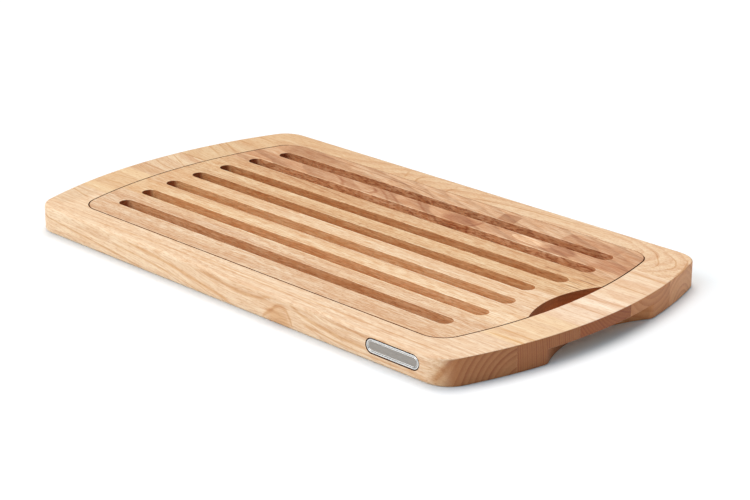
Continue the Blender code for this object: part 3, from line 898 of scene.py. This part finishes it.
plate = {
    "fit": 0.7 * mm,            # gap between the plate and its pocket, a dark line helped by painted shade on the pocket's walls
    "pocketDepth": 1.3 * mm,
    "overrun": 3 * mm,
    "backRound": 0.1 * mm,
    # the face in steps: how far in from the edge, and how far back from the rim's top
    "face": [(0.0, 0.45), (0.04, 0.2), (0.18, 0.05), (0.4, 0.0), (0.75, 0.0), (0.95, 0.06), (1.05, 0.2),
             (1.15, 0.38), (1.3, 0.42), (1.42, 0.34), (1.52, 0.2), (1.68, 0.14), (1.84, 0.2), (1.96, 0.36),
             (2.15, 0.44)],
    "ends": 20,                 # steps round each end
    "dull": (0.62, 0.61, 0.59, 1),
    "bright": (0.84, 0.83, 0.81, 1),
    "patina": (0.27, 0.24, 0.21, 1),
    "patinaDepth": (0.12, 0.45),    # mm behind the rim's top
    "patinaLeast": 0.75,            # where the metal is brushed brightest
    "roughness": (0.28, 0.42),
    "brushed": (0.15, 9.0),         # how often the brushing changes per mm, along and across
    "bump": 0.15,
    "bumpHeight": 0.05 * mm,
}


def plateRow(bm, inset, y):
    low, high = (Vector(corner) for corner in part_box("side_plate"))
    middle = (low + high) / 2
    half = (high.z - low.z) / 2
    reach = (high.x - low.x) / 2 - half
    row = []
    for side, start in ((1, -math.pi / 2), (-1, math.pi / 2)):
        for i in range(plate["ends"] + 1):
            angle = start + math.pi * i / plate["ends"]
            row.append(bm.verts.new((middle.x + side * reach + (half - inset) * math.cos(angle), y,
                                     middle.z + (half - inset) * math.sin(angle))))
    return row


# the shallow pocket that the plate is let into
def cutPocket(piece, pocketShadeWood):
    bm = bmesh.new()
    outside = -board["halfWidth"]
    rows = [plateRow(bm, -plate["fit"], outside - plate["overrun"]),
            plateRow(bm, -plate["fit"], outside + plate["pocketDepth"])]
    bridgeAll(bm, rows)
    for row in rows:
        bm.faces.new(row)
    bmesh.ops.recalc_face_normals(bm, faces=bm.faces)
    mesh = bpy.data.meshes.new("pocket")
    bm.to_mesh(mesh)
    bm.free()
    # the pocket's walls take the dark wood of painted shade
    mesh.materials.append(pocketShadeWood)
    cutter = bpy.data.objects.new("pocket", mesh)
    bpy.context.collection.objects.link(cutter)
    cut = piece.modifiers.new("pocket", "BOOLEAN")
    cut.operation = "DIFFERENCE"
    cut.solver = "EXACT"
    cut.material_mode = "TRANSFER"
    cut.object = cutter
    view = bpy.context.evaluated_depsgraph_get()
    cutMesh = bpy.data.meshes.new_from_object(piece.evaluated_get(view))
    piece.modifiers.clear()
    piece.data = cutMesh
    bpy.data.objects.remove(cutter)


def makeMetal():
    material = bpy.data.materials.new("plateMetal")
    add = nodesOf(material)
    coord = add("TexCoord")
    point = add("VectorMath", {0: coord.outputs["Object"], 3: 1 / mm}, operation="SCALE").outputs[0]
    vector = stretched(add, point, *plate["brushed"])
    brushed = add("TexNoise", {"Vector": vector, "Scale": 1.0, "Detail": 2.0}).outputs[0]
    # the hollows of the rim hold a dark patina
    depth = maths(add, "ADD", add("SeparateXYZ", {0: point}).outputs[1], -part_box("side_plate")[0][1] / mm)
    patina = remap(add, depth, *plate["patinaDepth"], smooth=True)
    patina = maths(add, "MULTIPLY", patina, remap(add, brushed, *noiseRange, 1.0, plate["patinaLeast"]))
    colour = blendColour(add, remap(add, brushed, *noiseRange), plate["dull"], plate["bright"])
    colour = blendColour(add, patina, colour, plate["patina"])
    roughness = remap(add, brushed, *noiseRange, *plate["roughness"])
    bump = add("Bump", {"Height": brushed, "Strength": plate["bump"],
                        "Distance": plate["bumpHeight"]}).outputs[0]
    shader = add("BsdfPrincipled", {"Base Color": colour, "Roughness": roughness, "Normal": bump,
                                    "Metallic": 1.0})
    add("OutputMaterial", {"Surface": shader.outputs[0]})
    return material


def dressPlate():
    low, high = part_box("side_plate")
    bm = bmesh.new()
    rows = [plateRow(bm, plate["backRound"], high[1]), plateRow(bm, 0, high[1] - plate["backRound"])]
    rows += [plateRow(bm, inset * mm, low[1] + back * mm) for inset, back in plate["face"]]
    bridgeAll(bm, rows)
    bm.faces.new(rows[0])
    bm.faces.new(rows[-1])
    bmesh.ops.recalc_face_normals(bm, faces=bm.faces)
    piece = finishMesh(bm, "plate", makeMetal())
    smoothPiece(piece)
    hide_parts("side_plate")
    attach(piece, "tray")
    print("plate finished")


studio = {
    "paper": (0.895, 0.93, 0.96),
    "paperReach": 8.0,
    "paperDrop": 0.05 * mm,     # how far the paper lies below the board
    "paperRoughness": 0.9,
    "sky": 0.28,
    "skyTint": (0.70, 1.0, 1.20),
    # each lamp leans by its tilt, in degrees to the back and to the right, and its spread softens shadows
    "lamps": [
        {"name": "key", "power": 1.98, "tint": (1.13, 1.0, 0.895), "tilt": (19, -16), "spread": 38},
        {"name": "fill", "power": 1.72, "tint": (1.04, 1.0, 0.99), "tilt": (-50, -22), "spread": 60},
    ],
}


def makeStudio():
    bm = bmesh.new()
    bmesh.ops.create_grid(bm, x_segments=8, y_segments=8, size=studio["paperReach"])
    mesh = bpy.data.meshes.new("paper")
    bm.to_mesh(mesh)
    bm.free()
    floor = bpy.data.objects.new("paper", mesh)
    bpy.context.collection.objects.link(floor)
    floor.location.z = -studio["paperDrop"]
    material = bpy.data.materials.new("paperWhite")
    add = nodesOf(material)
    shader = add("BsdfPrincipled", {"Base Color": (*studio["paper"], 1), "Specular IOR Level": 0.0,
                                    "Roughness": studio["paperRoughness"]})
    add("OutputMaterial", {"Surface": shader.outputs[0]})
    mesh.materials.append(material)

    world = bpy.data.worlds.new("studioSky")
    bpy.context.scene.world = world
    world.use_nodes = True
    sky = world.node_tree.nodes["Background"]
    sky.inputs["Color"].default_value = (*studio["skyTint"], 1)
    sky.inputs["Strength"].default_value = studio["sky"]

    for choice in studio["lamps"]:
        light = bpy.data.lights.new(choice["name"], "SUN")
        light.energy = choice["power"]
        light.color = choice["tint"]
        light.angle = math.radians(choice["spread"])
        lamp = bpy.data.objects.new(choice["name"], light)
        back, right = (math.radians(angle) for angle in choice["tilt"])
        source = Vector((math.tan(right), math.tan(back), 1))
        lamp.rotation_euler = source.to_track_quat("Z", "Y").to_euler()
        lamp.location = source
        bpy.context.collection.objects.link(lamp)
    print("studio lit")


camera = {
    "azimuth": 45.02,
    "elevation": 20.53,
    "distance": 1.56114,
    "target": (3.13 * mm, 16.19 * mm, 0),
    "lens": 99.17,
    "sensor": 36,
    "farthest": 50,
}


def makeCamera():
    data = bpy.data.cameras.new("camera")
    data.lens = camera["lens"]
    data.sensor_width = camera["sensor"]
    data.sensor_fit = "HORIZONTAL"
    data.clip_end = camera["farthest"]
    eye = bpy.data.objects.new("camera", data)
    azimuth, elevation = math.radians(camera["azimuth"]), math.radians(camera["elevation"])
    back = Vector((math.sin(azimuth) * math.cos(elevation), -math.cos(azimuth) * math.cos(elevation),
                   math.sin(elevation)))
    eye.location = Vector(camera["target"]) + back * camera["distance"]
    eye.rotation_euler = back.to_track_quat("Z", "Y").to_euler()
    bpy.context.collection.objects.link(eye)
    bpy.context.scene.camera = eye
    bpy.context.scene.view_settings.view_transform = "Standard"
    print("camera placed")


makeCamera()
makeStudio()
dressStaves()
dressPlate()
